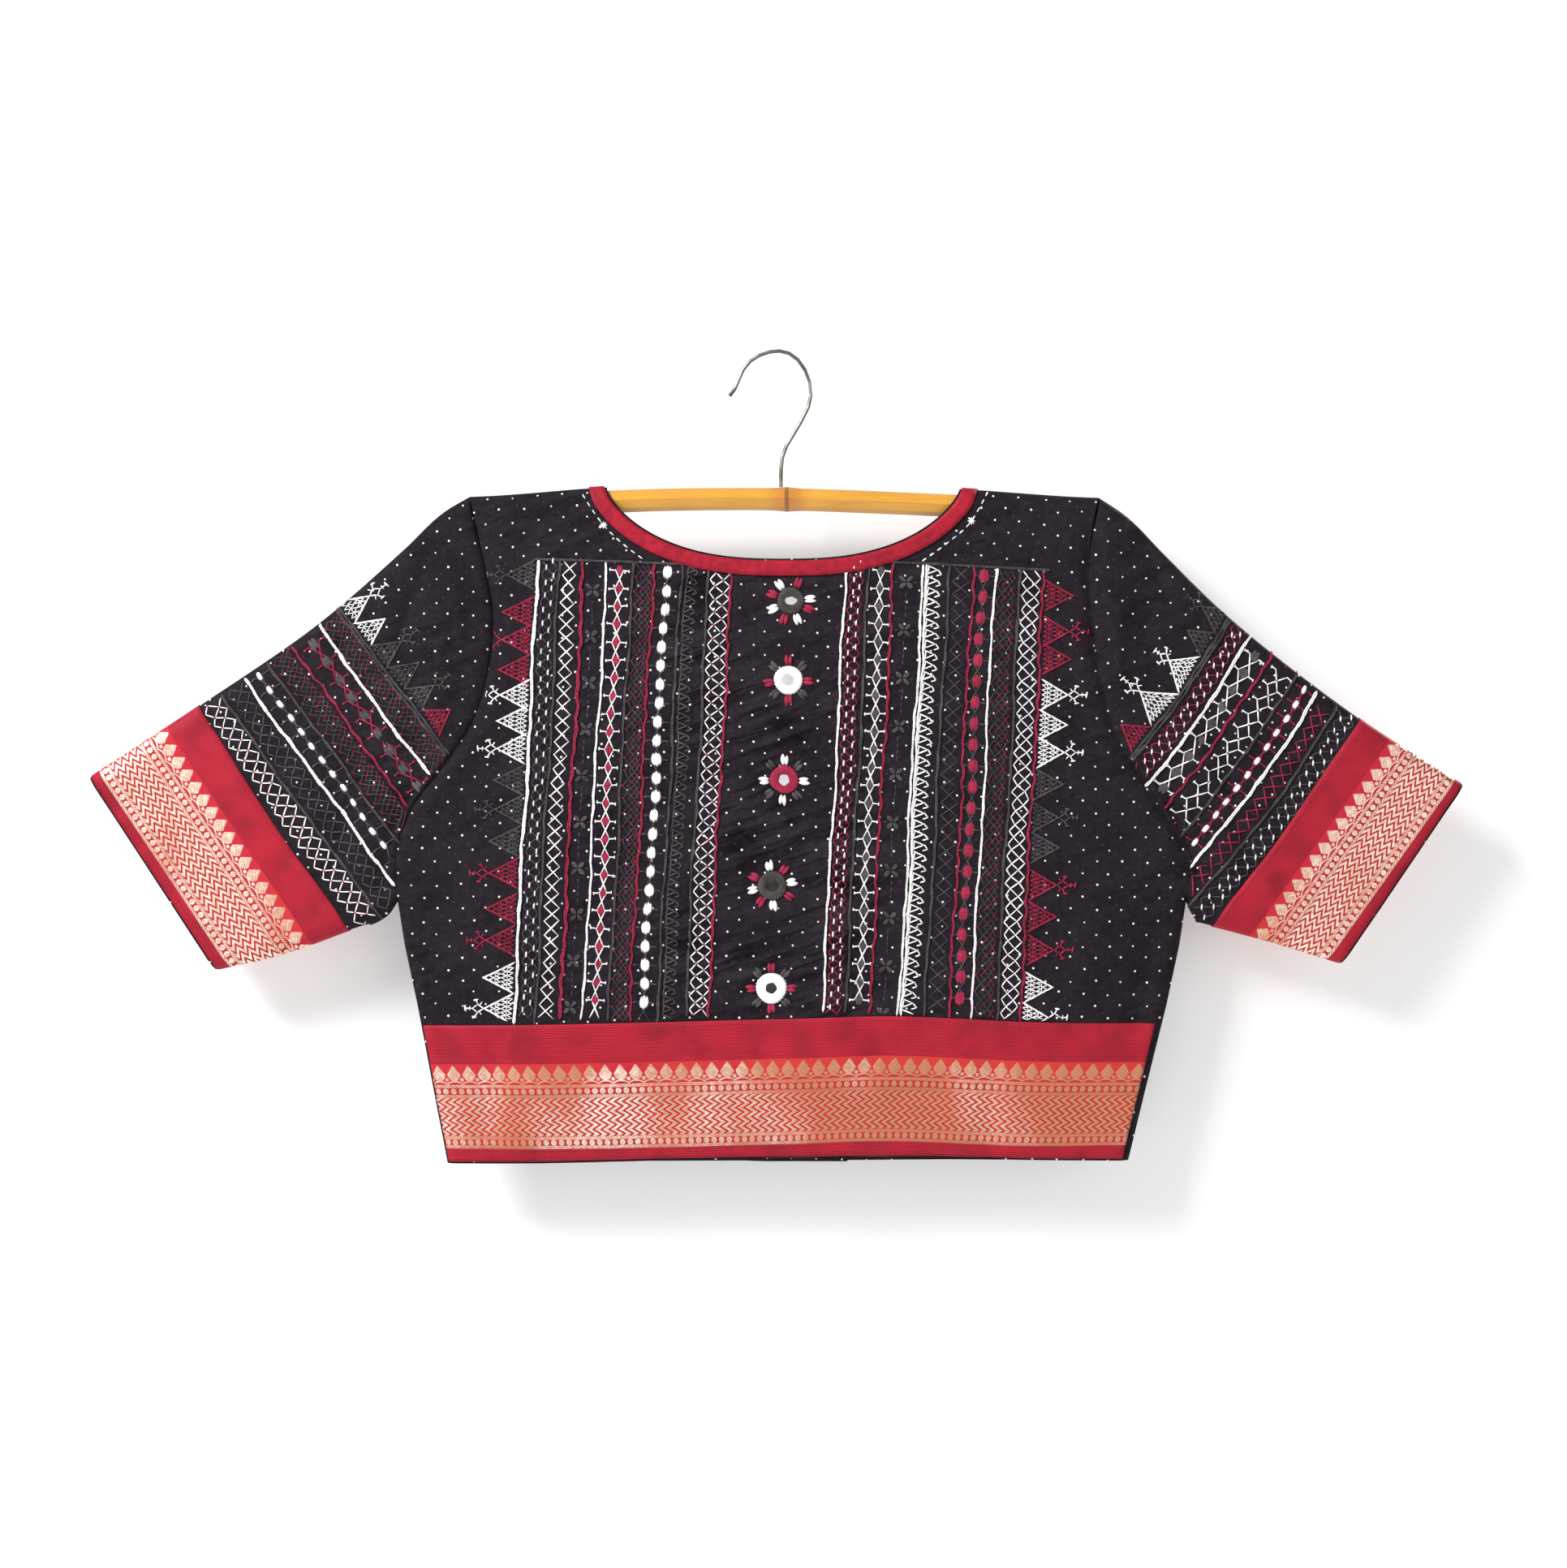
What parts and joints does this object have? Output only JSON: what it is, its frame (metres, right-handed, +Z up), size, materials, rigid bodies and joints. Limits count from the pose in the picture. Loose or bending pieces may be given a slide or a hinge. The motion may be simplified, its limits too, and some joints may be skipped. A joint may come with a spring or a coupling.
{
  "type": "choli blouse on a bamboo hanger",
  "caption": "Short sari blouse with elbow sleeves, an embroidered back and woven border bands, hung open on a cane hanger with a wire hook.",
  "frame": {"origin": "inside top of the hanger's hook, where a wall hook or rail carries it", "axes": "+X to the right as the embroidered back is seen, -Y out of the embroidered back towards the viewer, +Z up"},
  "size_m": [0.8159, 0.0235, 0.4837],
  "materials": {
    "black_cotton": "matte printed cotton with small pale dots",
    "red_cotton": "matte ribbed cotton",
    "gold_border": "red cotton figured with metallic yarn",
    "mirror_glass": "small mirror held in a ring of thread",
    "bamboo": "varnished cane",
    "steel": "dull drawn wire"
  },
  "bodies": {
    "root": {"back_panel": "black_cotton", "front_left": "black_cotton", "front_right": "black_cotton", "sleeve_left": "black_cotton", "sleeve_right": "black_cotton", "hem_border": "gold_border", "cuff_border_left": "gold_border", "cuff_border_right": "gold_border", "neck_facing_back": "red_cotton", "neck_facing_front_left": "red_cotton", "neck_facing_front_right": "red_cotton", "mirror_1": "mirror_glass", "mirror_2": "mirror_glass", "mirror_3": "mirror_glass", "mirror_4": "mirror_glass", "mirror_5": "mirror_glass", "hanger_bar": "bamboo", "hanger_hook": "steel"}
  },
  "joints": []
}
